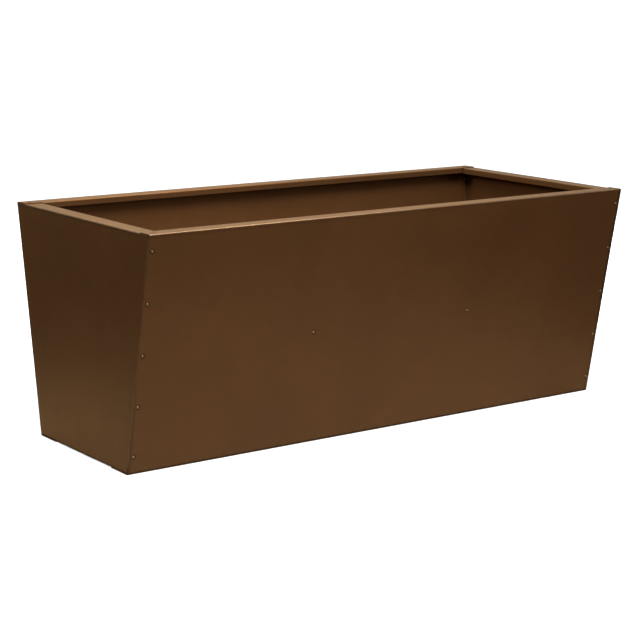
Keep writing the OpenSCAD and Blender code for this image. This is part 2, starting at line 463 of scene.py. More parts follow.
def finish_sheet(mesh: BMesh, name: str, probe: Vector, out: Vector,
                 coats: Sequence[Material]) -> Object:
    """Turn a grown outer face into a sheet with thickness and softened edges.

    Args:
        mesh: The outer face, freed by this call.
        name: Name of the piece.
        probe: A point near a face whose outward direction is known.
        out: That outward direction.
        coats: Finish of the faces, then of the cut edges.

    Returns:
        The piece.
    """
    bmesh.ops.recalc_face_normals(mesh, faces=mesh.faces)
    mesh.normal_update()
    nearest = min(mesh.faces, key=lambda face: (face.calc_center_median() - probe).length)
    if nearest.normal.dot(out) < 0:
        bmesh.ops.reverse_faces(mesh, faces=mesh.faces)
    piece = make_piece(mesh, name, coats)
    wall = piece.modifiers.new("thickness", "SOLIDIFY")
    wall.thickness = SIZES.sheet
    wall.offset = -1.0
    wall.use_even_offset = True
    wall.material_offset_rim = CUT_EDGE
    soft = piece.modifiers.new("edge_break", "BEVEL")
    soft.width = EDGE_BREAK
    soft.segments = 2
    soft.limit_method = "ANGLE"
    soft.angle_limit = SHARP
    soft.use_clamp_overlap = False
    soft.harden_normals = True
    soft.material = CUT_EDGE
    return piece


def make_piece(mesh: BMesh, name: str, coats: Sequence[Material]) -> Object:
    """Make an object of a mesh, smooth and in its finishes.

    Args:
        mesh: The mesh, freed by this call.
        name: Name of the piece.
        coats: Materials in the order of the mesh's material numbers.

    Returns:
        The piece, linked to the scene.
    """
    for face in mesh.faces:
        face.smooth = True
    data = bpy.data.meshes.new(name)
    mesh.to_mesh(data)
    mesh.free()
    for coat in coats:
        data.materials.append(coat)
    piece = bpy.data.objects.new(name, data)
    bpy.context.scene.collection.objects.link(piece)
    return piece


def hand_over(piece: Object, node: str) -> None:
    """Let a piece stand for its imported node.

    Args:
        piece: The finished piece.
        node: The node that it replaces.
    """
    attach(piece, BODY)
    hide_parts(node)
    LOG.info("%s stands for %s, %d vertices before its modifiers",
             piece.name, node, len(piece.data.vertices))


# Finishes

class Nodes:
    """Shorthand for filling a node tree."""

    def __init__(self, tree: NodeTree) -> None:
        """Keep the tree.

        Args:
            tree: The tree to be filled.
        """
        self.tree = tree

    def add(self, kind: str, values: dict | None = None, **settings: object) -> Node:
        """Add a node.

        Args:
            kind: Blender's name of the node.
            values: What goes into each input, a number, a colour or another node's output.
            settings: Properties of the node.

        Returns:
            The node.
        """
        node = self.tree.nodes.new(kind)
        for key, value in settings.items():
            setattr(node, key, value)
        for key, value in (values or {}).items():
            self.feed(node, key, value)
        return node

    def effect(self, tree: NodeTree, **values: object) -> Node:
        """Add a shared effect.

        Args:
            tree: The effect's node group.
            values: What goes into each of its inputs.

        Returns:
            The group's node.
        """
        return self.add("ShaderNodeGroup", values, node_tree=tree)

    def feed(self, node: Node, key: str | int, value: object) -> None:
        """Set or link one input.

        Args:
            node: The node.
            key: Name or number of its input.
            value: A constant, or the output that is linked to the input.
        """
        if isinstance(value, NodeSocket):
            self.tree.links.new(value, node.inputs[key])
        else:
            node.inputs[key].default_value = value

    def math(self, operation: str, first: object, second: object = 0.0,
             clamp: bool = False) -> NodeSocket:
        """Add a sum on two numbers and return its result.

        Args:
            operation: Blender's name of the sum.
            first: First number or output.
            second: Second number or output.
            clamp: Whether the result stays between 0 and 1.

        Returns:
            The result's output.
        """
        node = self.add("ShaderNodeMath", {0: first, 1: second},
                        operation=operation, use_clamp=clamp)
        return node.outputs[0]

    def chain(self, operation: str, *numbers: object) -> NodeSocket:
        """Join several numbers by one kind of sum and return the result.

        Args:
            operation: Blender's name of the sum.
            numbers: Numbers or outputs, joined in order.

        Returns:
            The result's output.
        """
        result, *others = numbers
        for number in others:
            result = self.math(operation, result, number)
        return result

    def mix(self, share: object, first: object, second: object,
            blend: str = "MIX") -> NodeSocket:
        """Mix two colours and return the result.

        Args:
            share: Share of the second colour.
            first: First colour or output.
            second: Second colour or output.
            blend: Blender's name of the mix.

        Returns:
            The mixed colour's output.
        """
        node = self.add("ShaderNodeMix", data_type="RGBA", blend_type=blend)
        for key, value in ((0, share), (6, first), (7, second)):
            self.feed(node, key, value)
        return node.outputs[2]

    def ramp(self, value: object, low: float, high: float, start: float = 0.0,
             stop: float = 1.0) -> NodeSocket:
        """Map a range of a value to another range, smoothly and within its limits.

        Args:
            value: The output that is mapped.
            low: Start of its range.
            high: End of its range.
            start: Result at the start.
            stop: Result at the end.

        Returns:
            The mapped value's output.
        """
        node = self.add("ShaderNodeMapRange", {0: value, 1: low, 2: high, 3: start, 4: stop},
                        interpolation_type="SMOOTHSTEP")
        return node.outputs[0]

    def noise(self, place: object, scale: object, detail: float, rough: float = 0.5) -> NodeSocket:
        """Add cloudy noise and return its value.

        Args:
            place: Output with the position.
            scale: Number of clouds in a metre, roughly.
            detail: Octaves.
            rough: Weight of each octave against the last.

        Returns:
            The value's output.
        """
        node = self.add("ShaderNodeTexNoise", {"Vector": place, "Scale": scale,
                                               "Detail": detail, "Roughness": rough})
        return node.outputs["Fac"]

    def patches(self, place: object, scale: float, detail: float, rough: float,
                span: tuple[float, ...]) -> NodeSocket:
        """Add patches with soft borders and return their mask.

        Args:
            place: Output with the position.
            scale: Number of patches in a metre, roughly.
            detail: Octaves.
            rough: Weight of each octave against the last.
            span: Noise between which the mask grows, and the mask there if it isn't 0 and 1.

        Returns:
            The mask's output.
        """
        return self.ramp(self.noise(place, scale, detail, rough), *span)

    def stretch(self, place: object, scale: tuple[float, float, float]) -> NodeSocket:
        """Scale a position by axis and return it."""
        return self.add("ShaderNodeMapping", {"Vector": place, "Scale": scale}).outputs[0]

    def split(self, vector: object) -> bpy_prop_collection:
        """Split a vector and return its outputs X, Y and Z."""
        return self.add("ShaderNodeSeparateXYZ", {0: vector}).outputs

    def grey(self, tone: object) -> NodeSocket:
        """Turn a number into a grey and return it."""
        return self.add("ShaderNodeCombineColor", {0: tone, 1: tone, 2: tone}).outputs[0]

    def normal(self) -> NodeSocket:
        """Return the direction that the surface faces."""
        return self.add("ShaderNodeNewGeometry").outputs["Normal"]

    def marked_wear_and_shade(self) -> NodeSocket:
        """Return the wear and painted highlight that the mesh marks, below 0 for painted shade."""
        return self.add("ShaderNodeAttribute", attribute_name=WEAR_AND_SHADE).outputs["Fac"]


class Socket(Enum):
    """Kinds of group socket."""

    NUMBER = "NodeSocketFloat"
    COLOUR = "NodeSocketColor"
    PLACE = "NodeSocketVector"


@dataclass(frozen=True)
class PaintedShadePlaces:
    """Where painted shade darkens the coat, as the values that each part of its mask is mapped by.

    The first two are where the part starts and where it ends, in metres or as a share of the
    normal. Two more are the mask at these, which is otherwise 0 and 1.
    """

    # Painted shade along the ground, in the corner seams, along the right-hand upright edges and
    # under the rim
    ground: tuple[float, ...] = (0.0070, 0.0028)
    seam: tuple[float, ...] = (0.0060, 0.0028)
    seam_facing: tuple[float, ...] = (0.5, 0.3)
    seam_height: tuple[float, ...] = (0.03, 0.26, 0.5, 0.0)
    right_edge: tuple[float, ...] = (0.0100, 0.0058)
    right_facing: tuple[float, ...] = (0.97, 0.88)
    right_height: tuple[float, ...] = (0.08, 0.26, 0.45, 1.0)
    under_rim: tuple[float, ...] = (0.0016, 0.0030, 0.0, 0.45)
    under_rim_end: tuple[float, ...] = (0.0110, 0.0050)
    # Painted shade round the holes, and on the lower, right-hand and top sides of the rivet heads
    rings: tuple[float, ...] = (-0.1, -0.9)
    head_below: tuple[float, ...] = (-0.28, -0.50)
    head_right: tuple[float, ...] = (0.10, 0.40)
    head_top: tuple[float, ...] = (0.55, 0.80, 0.0, 0.7)
    streaks: tuple[float, ...] = (0.2, 0.6, 0.6, 1.0)


class Effects:
    """Shared surface effects of the finishes, each one a node group that is built once."""

    def __init__(self) -> None:
        """Build the groups."""
        self.peel = self._orange_peel()
        self.flake = self._metal_flake()
        self.cloud = self._coat_clouds()
        self.dust = self._settled_dust()
        self.wear = self._rubbed_wear_and_highlight()
        self.film = self._ground_glow_and_dust()
        self.painted_shade = self._painted_shade()

    @staticmethod
    def _group(name: str, inputs: dict[str, tuple[Socket, object]], outputs: dict[str, Socket]
               ) -> tuple[Nodes, bpy_prop_collection, Node]:
        """Start a group with named sockets.

        Args:
            name: Name of the group.
            inputs: Kind and preset of each input.
            outputs: Kind of each output.

        Returns:
            The group's nodes, what it is given and its output node.
        """
        tree = bpy.data.node_groups.new(name, "ShaderNodeTree")
        for key, (kind, preset) in inputs.items():
            socket = tree.interface.new_socket(key, in_out="INPUT", socket_type=kind.value)
            if preset is not None:
                socket.default_value = preset
        for key, kind in outputs.items():
            tree.interface.new_socket(key, in_out="OUTPUT", socket_type=kind.value)
        nodes = Nodes(tree)
        return nodes, nodes.add("NodeGroupInput").outputs, nodes.add("NodeGroupOutput")

    @staticmethod
    def _put_out(nodes: Nodes, given: bpy_prop_collection, result: Node,
                 mask: NodeSocket) -> NodeTree:
        """Finish a group with one mask, in the amount that is asked for.

        Args:
            nodes: The group's nodes.
            given: What the group is given.
            result: Its output node.
            mask: The full mask.

        Returns:
            The group.
        """
        nodes.feed(result, "Mask", nodes.math("MULTIPLY", mask, given["Amount"], clamp=True))
        return nodes.tree

    def _orange_peel(self) -> NodeTree:
        """Soft dimples of cured powder, with the fine grain of its pigment.

        Returns:
            The group, which puts out a height.
        """
        nodes, given, result = self._group(
            "Orange peel", {"Place": (Socket.PLACE, None), "Scale": (Socket.NUMBER, 420.0),
                            "Grain": (Socket.NUMBER, 0.25)}, {"Height": Socket.NUMBER})
        peel = nodes.noise(given["Place"], scale=given["Scale"], detail=1.5, rough=0.4)
        fine = nodes.math("MULTIPLY", given["Scale"], 6.0)
        grain = nodes.noise(given["Place"], scale=fine, detail=1.0)
        height = nodes.math("ADD", peel, nodes.math("MULTIPLY", grain, given["Grain"]))
        nodes.feed(result, "Height", height)
        return nodes.tree

    def _metal_flake(self) -> NodeTree:
        """Tiny flakes in the coat, each one a little brighter or darker than the next.

        Returns:
            The group, which puts out the tinted colour and a mask of the brightest flakes.
        """
        nodes, given, result = self._group(
            "Metal flake", {"Place": (Socket.PLACE, None), "Colour": (Socket.COLOUR, None),
                            "Scale": (Socket.NUMBER, 2600.0), "Depth": (Socket.NUMBER, 0.3)},
            {"Colour": Socket.COLOUR, "Bright": Socket.NUMBER})
        cells = nodes.add("ShaderNodeTexVoronoi",
                          {"Vector": given["Place"], "Scale": given["Scale"]})
        tone = nodes.add("ShaderNodeSeparateColor", {0: cells.outputs["Color"]}).outputs[0]
        shift = nodes.math("MULTIPLY", nodes.math("SUBTRACT", tone, 0.5), given["Depth"])
        gain = nodes.grey(nodes.math("ADD", shift, 1.0))
        nodes.feed(result, "Colour", nodes.mix(1.0, given["Colour"], gain, "MULTIPLY"))
        nodes.feed(result, "Bright", nodes.ramp(tone, 0.86, 0.98))
        return nodes.tree

    def _coat_clouds(self) -> NodeTree:
        """Broad, faint clouds of the sprayed coat and the wiping marks on it.

        Returns:
            The group, which puts out two masks round one half.
        """
        nodes, given, result = self._group(
            "Coat clouds", {"Place": (Socket.PLACE, None)},
            {"Clouds": Socket.NUMBER, "Wipes": Socket.NUMBER})
        broad = nodes.noise(given["Place"], scale=4.5, detail=3.0)
        small = nodes.noise(given["Place"], scale=26.0, detail=3.0, rough=0.6)
        clouds = nodes.math("ADD", nodes.math("MULTIPLY", broad, 0.7),
                            nodes.math("MULTIPLY", small, 0.3))
        long = nodes.stretch(given["Place"], (5.0, 5.0, 60.0))
        short = nodes.stretch(given["Place"], (70.0, 70.0, 9.0))
        level = nodes.noise(long, scale=1.0, detail=4.0, rough=0.6)
        upright = nodes.noise(short, scale=1.0, detail=3.0, rough=0.6)
        wipes = nodes.math("ADD", nodes.math("MULTIPLY", level, 0.5),
                           nodes.math("MULTIPLY", upright, 0.5))
        nodes.feed(result, "Clouds", clouds)
        nodes.feed(result, "Wipes", wipes)
        return nodes.tree

    def _settled_dust(self) -> NodeTree:
        """Dust that settles on faces that look up, in patches.

        Returns:
            The group, which puts out a mask.
        """
        nodes, given, result = self._group(
            "Settled dust", {"Place": (Socket.PLACE, None), "Amount": (Socket.NUMBER, 0.3)},
            {"Mask": Socket.NUMBER})
        flat = nodes.ramp(nodes.split(nodes.normal())["Z"], 0.35, 0.95)
        patches = nodes.patches(given["Place"], scale=14.0, detail=6.0, rough=0.6,
                                span=(0.2, 0.9))
        specks = nodes.patches(given["Place"], scale=900.0, detail=2.0, rough=0.7,
                               span=(0.55, 0.75))
        cover = nodes.math("ADD", nodes.math("MULTIPLY", patches, 0.75),
                           nodes.math("MULTIPLY", specks, 0.35), clamp=True)
        return self._put_out(nodes, given, result, nodes.math("MULTIPLY", flat, cover))

    def _rubbed_wear_and_highlight(self) -> NodeTree:
        """Rubbed places on the crowns of folds and round the bores of rivets; on the fold crowns the
        paler colour is also a painted highlight.

        Returns:
            The group, which puts out a mask.
        """
        nodes, given, result = self._group(
            "Rubbed wear and highlight", {"Place": (Socket.PLACE, None), "Amount": (Socket.NUMBER, 0.5)},
            {"Mask": Socket.NUMBER})
        patches = nodes.patches(given["Place"], scale=60.0, detail=6.0, rough=0.7,
                                span=(0.35, 0.7))
        rubbed = nodes.math("MULTIPLY", nodes.ramp(nodes.marked_wear_and_shade(), 0.45, 1.0),
                            nodes.math("ADD", nodes.math("MULTIPLY", patches, 0.7), 0.3))
        return self._put_out(nodes, given, result, rubbed)

    def _ground_glow_and_dust(self) -> NodeTree:
        """Painted glow that lightens the coat towards the ground, as light from the floor would, with
        fine dust specks in it.

        Returns:
            The group, which puts out a mask.
        """
        nodes, given, result = self._group(
            "Ground glow and dust", {"Place": (Socket.PLACE, None), "Reach": (Socket.NUMBER, 0.42),
                            "Amount": (Socket.NUMBER, 0.1)}, {"Mask": Socket.NUMBER})
        height = nodes.split(given["Place"])["Z"]
        low = nodes.math("SUBTRACT", 1.0, nodes.math("DIVIDE", height, given["Reach"]),
                         clamp=True)
        haze = nodes.patches(given["Place"], scale=7.0, detail=3.0, rough=0.6,
                             span=(0.2, 0.8, 0.75, 1.0))
        specks = nodes.patches(given["Place"], scale=420.0, detail=2.0, rough=0.6,
                               span=(0.62, 0.72))
        cover = nodes.math("ADD", haze, nodes.math("MULTIPLY", specks, 0.6))
        faded = nodes.math("MULTIPLY", nodes.math("POWER", low, 1.3), cover)
        return self._put_out(nodes, given, result, faded)

    def _painted_shade(self) -> NodeTree:
        """Painted shade along the ground, the seams and edges, under the rim, in the rings round the
        rivets and on their heads.

        Returns:
            The group, which puts out a mask.
        """
        nodes, given, result = self._group(
            "Painted shade", {"Place": (Socket.PLACE, None), "Side": (Socket.NUMBER, 0.61),
                          "Top": (Socket.NUMBER, 0.48), "Amount": (Socket.NUMBER, 0.7),
                          "Heads": (Socket.NUMBER, 0.0)}, {"Mask": Socket.NUMBER})
        at = PaintedShadePlaces()
        place, normal = nodes.split(given["Place"]), nodes.split(nodes.normal())
        edges = self._edge_shade(nodes, at, place, normal["X"], given["Side"])
        # Painted shade: a contact shade along the ground line and dark rings round the holes
        ground = nodes.ramp(place["Z"], *at.ground)
        rings = nodes.ramp(nodes.marked_wear_and_shade(), *at.rings)
        # Painted shade just under the rim
        drop = nodes.math("SUBTRACT", given["Top"], place["Z"])
        under_rim = nodes.math("MULTIPLY", nodes.ramp(drop, *at.under_rim),
                               nodes.ramp(drop, *at.under_rim_end))
        streaks = nodes.patches(given["Place"], scale=45.0, detail=4.0, rough=0.6,
                                span=at.streaks)
        painted_shade = nodes.chain("MAXIMUM", ground, edges, rings, under_rim)
        painted_shade = nodes.math("MULTIPLY", nodes.math("MULTIPLY", painted_shade, streaks), given["Amount"],
                          clamp=True)
        # Painted shade on the lower and right-hand sides of the rivet heads, and darker tops
        heads = nodes.chain("MAXIMUM", nodes.ramp(normal["Z"], *at.head_below),
                            nodes.ramp(normal["X"], *at.head_right),
                            nodes.ramp(normal["Z"], *at.head_top))
        heads = nodes.math("MULTIPLY", heads, given["Heads"], clamp=True)
        nodes.feed(result, "Mask", nodes.math("MAXIMUM", painted_shade, heads))
        return nodes.tree

    @staticmethod
    def _edge_shade(nodes: Nodes, at: PaintedShadePlaces, place: bpy_prop_collection,
                   normal_x: NodeSocket, side: NodeSocket) -> NodeSocket:
        """Painted shade in the corner seams, low at both ends, and along the upright edges at the
        right.

        Args:
            nodes: Nodes of the group.
            at: Where dirt is held.
            place: The position's outputs.
            normal_x: The normal's part along the bed.
            side: Distance of the bed's ends from its middle.

        Returns:
            The mask's output.
        """
        turned = nodes.math("ABSOLUTE", normal_x)
        inwards = nodes.math("SUBTRACT", side, nodes.math("ABSOLUTE", place["X"]))
        seam = nodes.chain("MULTIPLY", nodes.ramp(inwards, *at.seam),
                           nodes.ramp(turned, *at.seam_facing),
                           nodes.ramp(place["Z"], *at.seam_height))
        # Painted shade: a dark reflection line along the upright edges at the right
        right = nodes.chain("MULTIPLY", nodes.ramp(inwards, *at.right_edge),
                            nodes.ramp(turned, *at.right_facing),
                            nodes.ramp(place["Z"], *at.right_height),
                            nodes.math("GREATER_THAN", place["X"], 0.0))
        return nodes.math("MAXIMUM", seam, right)


def start_material(name: str) -> tuple[Material, Nodes]:
    """Start a finish with an empty node tree.

    Args:
        name: Name of the finish.

    Returns:
        The material, and the shorthand that fills its tree.
    """
    material = bpy.data.materials.new(name)
    material.use_nodes = True
    material.node_tree.nodes.clear()
    return material, Nodes(material.node_tree)


@dataclass(frozen=True)
class PowderCoat:
    """Semi-gloss bronze powder coat with fine metal flake, rubbed places, dust, painted light and
    painted shade.
    """

    name: str
    colour: tuple[float, float, float] = (0.093, 0.039, 0.0135)
    edge_tint: tuple[float, float, float] = (1.0, 0.75, 0.38)
    # Paler colour of rubbed places, which on the fold crowns is also a painted highlight
    worn_and_highlight: tuple[float, float, float] = (0.44, 0.39, 0.31)
    # Colour of dust, also of the painted glow towards the ground
    dust: tuple[float, float, float] = (0.20, 0.145, 0.09)
    # Colour of the painted shade
    shade_colour: tuple[float, float, float] = (0.012, 0.007, 0.003)
    metallic: float = 0.50
    roughness: float = 0.42
    gloss: float = 0.10
    cloud_tones: tuple[float, float] = (0.93, 1.07)
    wipe_roughness: float = 0.035
    dust_glow_and_shade_roughness: float = 0.35
    flake_scale: float = 2600.0
    flake_depth: float = 0.5
    flake_shine: float = 0.2
    wear: float = 0.19
    dust_amount: float = 0.14
    ground_glow_and_dust_amount: float = 0.07
    # Amounts of painted shade on the coat and on the rivet heads
    painted_shade_amount: float = 0.85
    head_shade: float = 0.0
    peel: float = 0.10
    peel_depth: float = 0.0004

    def build(self, effects: Effects) -> Material:
        """Build the material.

        Args:
            effects: The shared node groups.

        Returns:
            The material.
        """
        material, nodes = start_material(self.name)
        place = nodes.add("ShaderNodeTexCoord").outputs["Object"]
        cloud = nodes.effect(effects.cloud, Place=place)
        tone = nodes.grey(nodes.ramp(cloud.outputs["Clouds"], 0.3, 0.7, *self.cloud_tones))
        base = nodes.mix(1.0, (*self.colour, 1.0), tone, "MULTIPLY")
        flake = nodes.effect(effects.flake, Place=place, Colour=base, Scale=self.flake_scale,
                             Depth=self.flake_depth)
        wear = nodes.effect(effects.wear, Place=place, Amount=self.wear)
        dust = nodes.effect(effects.dust, Place=place, Amount=self.dust_amount)
        # Painted light: the ground film lightens the coat towards the ground
        film = nodes.effect(effects.film, Place=place, Amount=self.ground_glow_and_dust_amount)
        painted_shade = nodes.effect(effects.painted_shade, Place=place, Side=SIZES.length / 2, Top=SIZES.height,
                            Amount=self.painted_shade_amount, Heads=self.head_shade)
        dust_and_glow = nodes.math("MAXIMUM", dust.outputs["Mask"], film.outputs["Mask"])
        # Rubbed wear, and on the fold crowns a painted highlight
        colour = nodes.mix(wear.outputs["Mask"], flake.outputs["Colour"], (*self.worn_and_highlight, 1.0))
        colour = nodes.mix(dust_and_glow, colour, (*self.dust, 1.0))
        # Painted shade: darkens the coat along edges, seams, the ground line, under the rim and round
        # the rivets
        colour = nodes.mix(painted_shade.outputs["Mask"], colour, (*self.shade_colour, 1.0))
        dust_glow_and_shade = nodes.math("MAXIMUM", dust_and_glow, painted_shade.outputs["Mask"])
        shine = nodes.math("MULTIPLY", flake.outputs["Bright"], self.flake_shine)
        metal = nodes.math("MULTIPLY", nodes.math("SUBTRACT", 1.0, dust_glow_and_shade), self.metallic)
        metal = nodes.math("ADD", metal, shine, clamp=True)
        rough = nodes.ramp(cloud.outputs["Wipes"], 0.3, 0.7, self.roughness - self.wipe_roughness,
                           self.roughness + self.wipe_roughness)
        rough = nodes.math("ADD", rough, nodes.math("MULTIPLY", dust_glow_and_shade, self.dust_glow_and_shade_roughness),
                           clamp=True)
        peel = nodes.effect(effects.peel, Place=place)
        bump = nodes.add("ShaderNodeBump", {"Strength": self.peel, "Distance": self.peel_depth,
                                            "Height": peel.outputs["Height"]})
        shader = nodes.add("ShaderNodeBsdfPrincipled", {
            "Base Color": colour, "Metallic": metal, "Roughness": rough,
            "Specular IOR Level": self.gloss, "Specular Tint": (*self.edge_tint, 1.0),
            "Normal": bump.outputs[0]})
        nodes.add("ShaderNodeOutputMaterial", {"Surface": shader.outputs[0]})
        return material


@dataclass(frozen=True)
class PlatedSteel:
    """Dull, stained zinc-plated steel of the mandrels, rougher at the torn tip."""

    name: str
    colour: tuple[float, float, float] = (0.19, 0.15, 0.12)
    stain: tuple[float, float, float] = (0.13, 0.085, 0.05)
    stained: float = 0.55
    metallic: float = 0.92
    roughness: float = 0.46
    stain_roughness: float = 0.2
    torn: float = 0.8
    torn_roughness: float = 0.25
    grain_scale: float = 2400.0
    grain: float = 0.5
    bump: float = 0.3
    bump_depth: float = 0.0001

    def build(self, effects: Effects) -> Material:
        """Build the material.

        Args:
            effects: The shared node groups.

        Returns:
            The material.
        """
        material, nodes = start_material(self.name)
        place = nodes.add("ShaderNodeTexCoord").outputs["Object"]
        blotch = nodes.patches(place, scale=700.0, detail=4.0, rough=0.65, span=(0.4, 0.7))
        colour = nodes.mix(nodes.math("MULTIPLY", blotch, self.stained),
                           (*self.colour, 1.0), (*self.stain, 1.0))
        torn = nodes.effect(effects.wear, Place=place, Amount=self.torn).outputs["Mask"]
        dull = nodes.ramp(blotch, 0.0, 1.0, self.roughness, self.roughness + self.stain_roughness)
        rough = nodes.math("ADD", nodes.math("MULTIPLY", torn, self.torn_roughness), dull,
                           clamp=True)
        peel = nodes.effect(effects.peel, Place=place, Scale=self.grain_scale, Grain=self.grain)
        bump = nodes.add("ShaderNodeBump", {"Strength": self.bump, "Distance": self.bump_depth,
                                            "Height": peel.outputs["Height"]})
        shader = nodes.add("ShaderNodeBsdfPrincipled", {
            "Base Color": colour, "Metallic": self.metallic, "Roughness": rough,
            "Normal": bump.outputs[0]})
        nodes.add("ShaderNodeOutputMaterial", {"Surface": shader.outputs[0]})
        return material


@dataclass
class Finishes:
    """All finishes of the bed."""

    effects: Effects = field(default_factory=Effects)
    panel: PowderCoat = PowderCoat("bronze powder coat")
    cut_edge: PowderCoat = PowderCoat("bronze powder coat on cut edges", wear=0.15,
                                      colour=(0.060, 0.025, 0.009), roughness=0.46, peel=0.05)
    # The rivets get painted shade on their heads and none along edges
    rivet: PowderCoat = PowderCoat("bronze coat on rivets", wear=0.30, peel=0.03,
                                   colour=(0.22, 0.12, 0.055), roughness=0.15, metallic=0.9,
                                   painted_shade_amount=0.0, head_shade=0.85)
    mandrel: PlatedSteel = PlatedSteel("zinc-plated mandrel steel")

    def __post_init__(self) -> None:
        """Build the materials."""
        self.sheet_coats = [self.panel.build(self.effects), self.cut_edge.build(self.effects)]
        self.rivet_coats = [self.rivet.build(self.effects)]
        self.mandrel_coats = [self.mandrel.build(self.effects)]


# Sub-assemblies

@dataclass
class LongPanel:
    """Front or back panel: lip, rim, leaning face and base flange folded from one sheet."""

    side: Side
    sizes: BedSizes = SIZES
    column: float = 0.020
    course: float = 0.022
    swell: float = 0.0005
    swell_bays: int = 3
    face_depth: float = 0.0005

    def build(self, finishes: Finishes) -> None:
        """Fold, punch and dress the panel.

        Args:
            finishes: The finishes of the bed.
        """
        s, sign = self.sizes, self.side.sign
        start_y = sign * (s.base_width / 2 - s.long_base)
        half = s.length / 2
        mesh = start_sheet(Vector((-half, start_y, 0.0)), Vector((half, start_y, 0.0)))
        brake = Brake(mesh, Vector((0.0, start_y, 0.0)), Vector((0.0, sign, 0.0)), Z_AXIS, half)
        base_turn, rim_turn = math.pi / 2 - s.lean, math.pi / 2 + s.lean
        face = s.slope - s.setback(base_turn) - s.setback(rim_turn)
        brake.leg(s.long_base - s.setback(base_turn))
        brake.fold(base_turn)
        brake.leg(face, grid_lines(0.0, face, self.course, self._face_lines()))
        brake.fold(rim_turn)
        rim_start = s.rim_width / 2 - s.setback(rim_turn)
        brake.leg(s.rim - s.setback(rim_turn) - s.setback(math.pi / 2),
                  HEAD_PUNCH.lines(rim_start - s.rim_rivet[1]))
        lip_end = s.lip_ends[0]
        for x in (-lip_end, lip_end):
            scribe(mesh, X_AXIS * x, X_AXIS)
        brake.half_span = lip_end
        brake.fold(math.pi / 2, LIP_WEAR_AND_HIGHLIGHT)
        brake.leg(s.lip - s.setback(math.pi / 2))
        for x in grid_lines(-half, half, self.column, self._column_lines()):
            scribe(mesh, X_AXIS * x, X_AXIS)
        self._punch(mesh)
        self._let_swell(mesh)
        piece = finish_sheet(mesh, f"{self.side.value}_panel_sheet",
                             s.on_face(sign, 0.0, s.slope / 2), s.face_normal(sign),
                             finishes.sheet_coats)
        hand_over(piece, f"{self.side.value}_panel")

    def _face_lines(self) -> list[float]:
        """Grid lines that the holes need on the face, from its lower fold up."""
        s = self.sizes
        start = s.slope - s.setback(math.pi / 2 - s.lean)
        return [line for place in (*s.seam_places, s.brace_place)
                for line in HEAD_PUNCH.lines(start - place)]

    def _column_lines(self) -> list[float]:
        """Grid lines that the holes need along the bed."""
        s = self.sizes
        places = (s.seam_x, s.rim_rivet[0], s.brace_x)
        return [line for place in places for end in (-1, 1)
                for line in HEAD_PUNCH.lines(end * place)]

    def _punch(self, mesh: BMesh) -> None:
        """Punch the rivet holes of the seams, the braces and the rim corners."""
        s, sign = self.sizes, self.side.sign
        for end in (-1, 1):
            for place in s.seam_places:
                HEAD_PUNCH.strike(mesh, s.on_face(sign, end * s.seam_x, place),
                                  s.face_normal(sign), X_AXIS)
            HEAD_PUNCH.strike(mesh, s.on_face(sign, end * s.brace_x, s.brace_place),
                              s.face_normal(sign), X_AXIS)
            x, y = s.rim_rivet
            HEAD_PUNCH.strike(mesh, Vector((end * x, sign * y, s.height)), Z_AXIS, X_AXIS)

    def _let_swell(self, mesh: BMesh) -> None:
        """Let the leaning face swell slightly between its rivets and folds."""
        s, sign = self.sizes, self.side.sign
        out = s.face_normal(sign)
        edge = s.on_face(sign, 0.0, 0.0)
        for vert in mesh.verts:
            step = vert.co - edge
            depth = -step.dot(out)
            place = (s.height - vert.co.z - depth * math.sin(s.lean)) / math.cos(s.lean)
            if abs(depth) < self.face_depth and s.fold < place < s.slope - s.fold:
                rise = math.sin(math.pi * place / s.slope) ** 2
                bow = swell(vert.co.x / s.length + 0.5, self.swell_bays)
                vert.co += out * (self.swell * rise * bow)


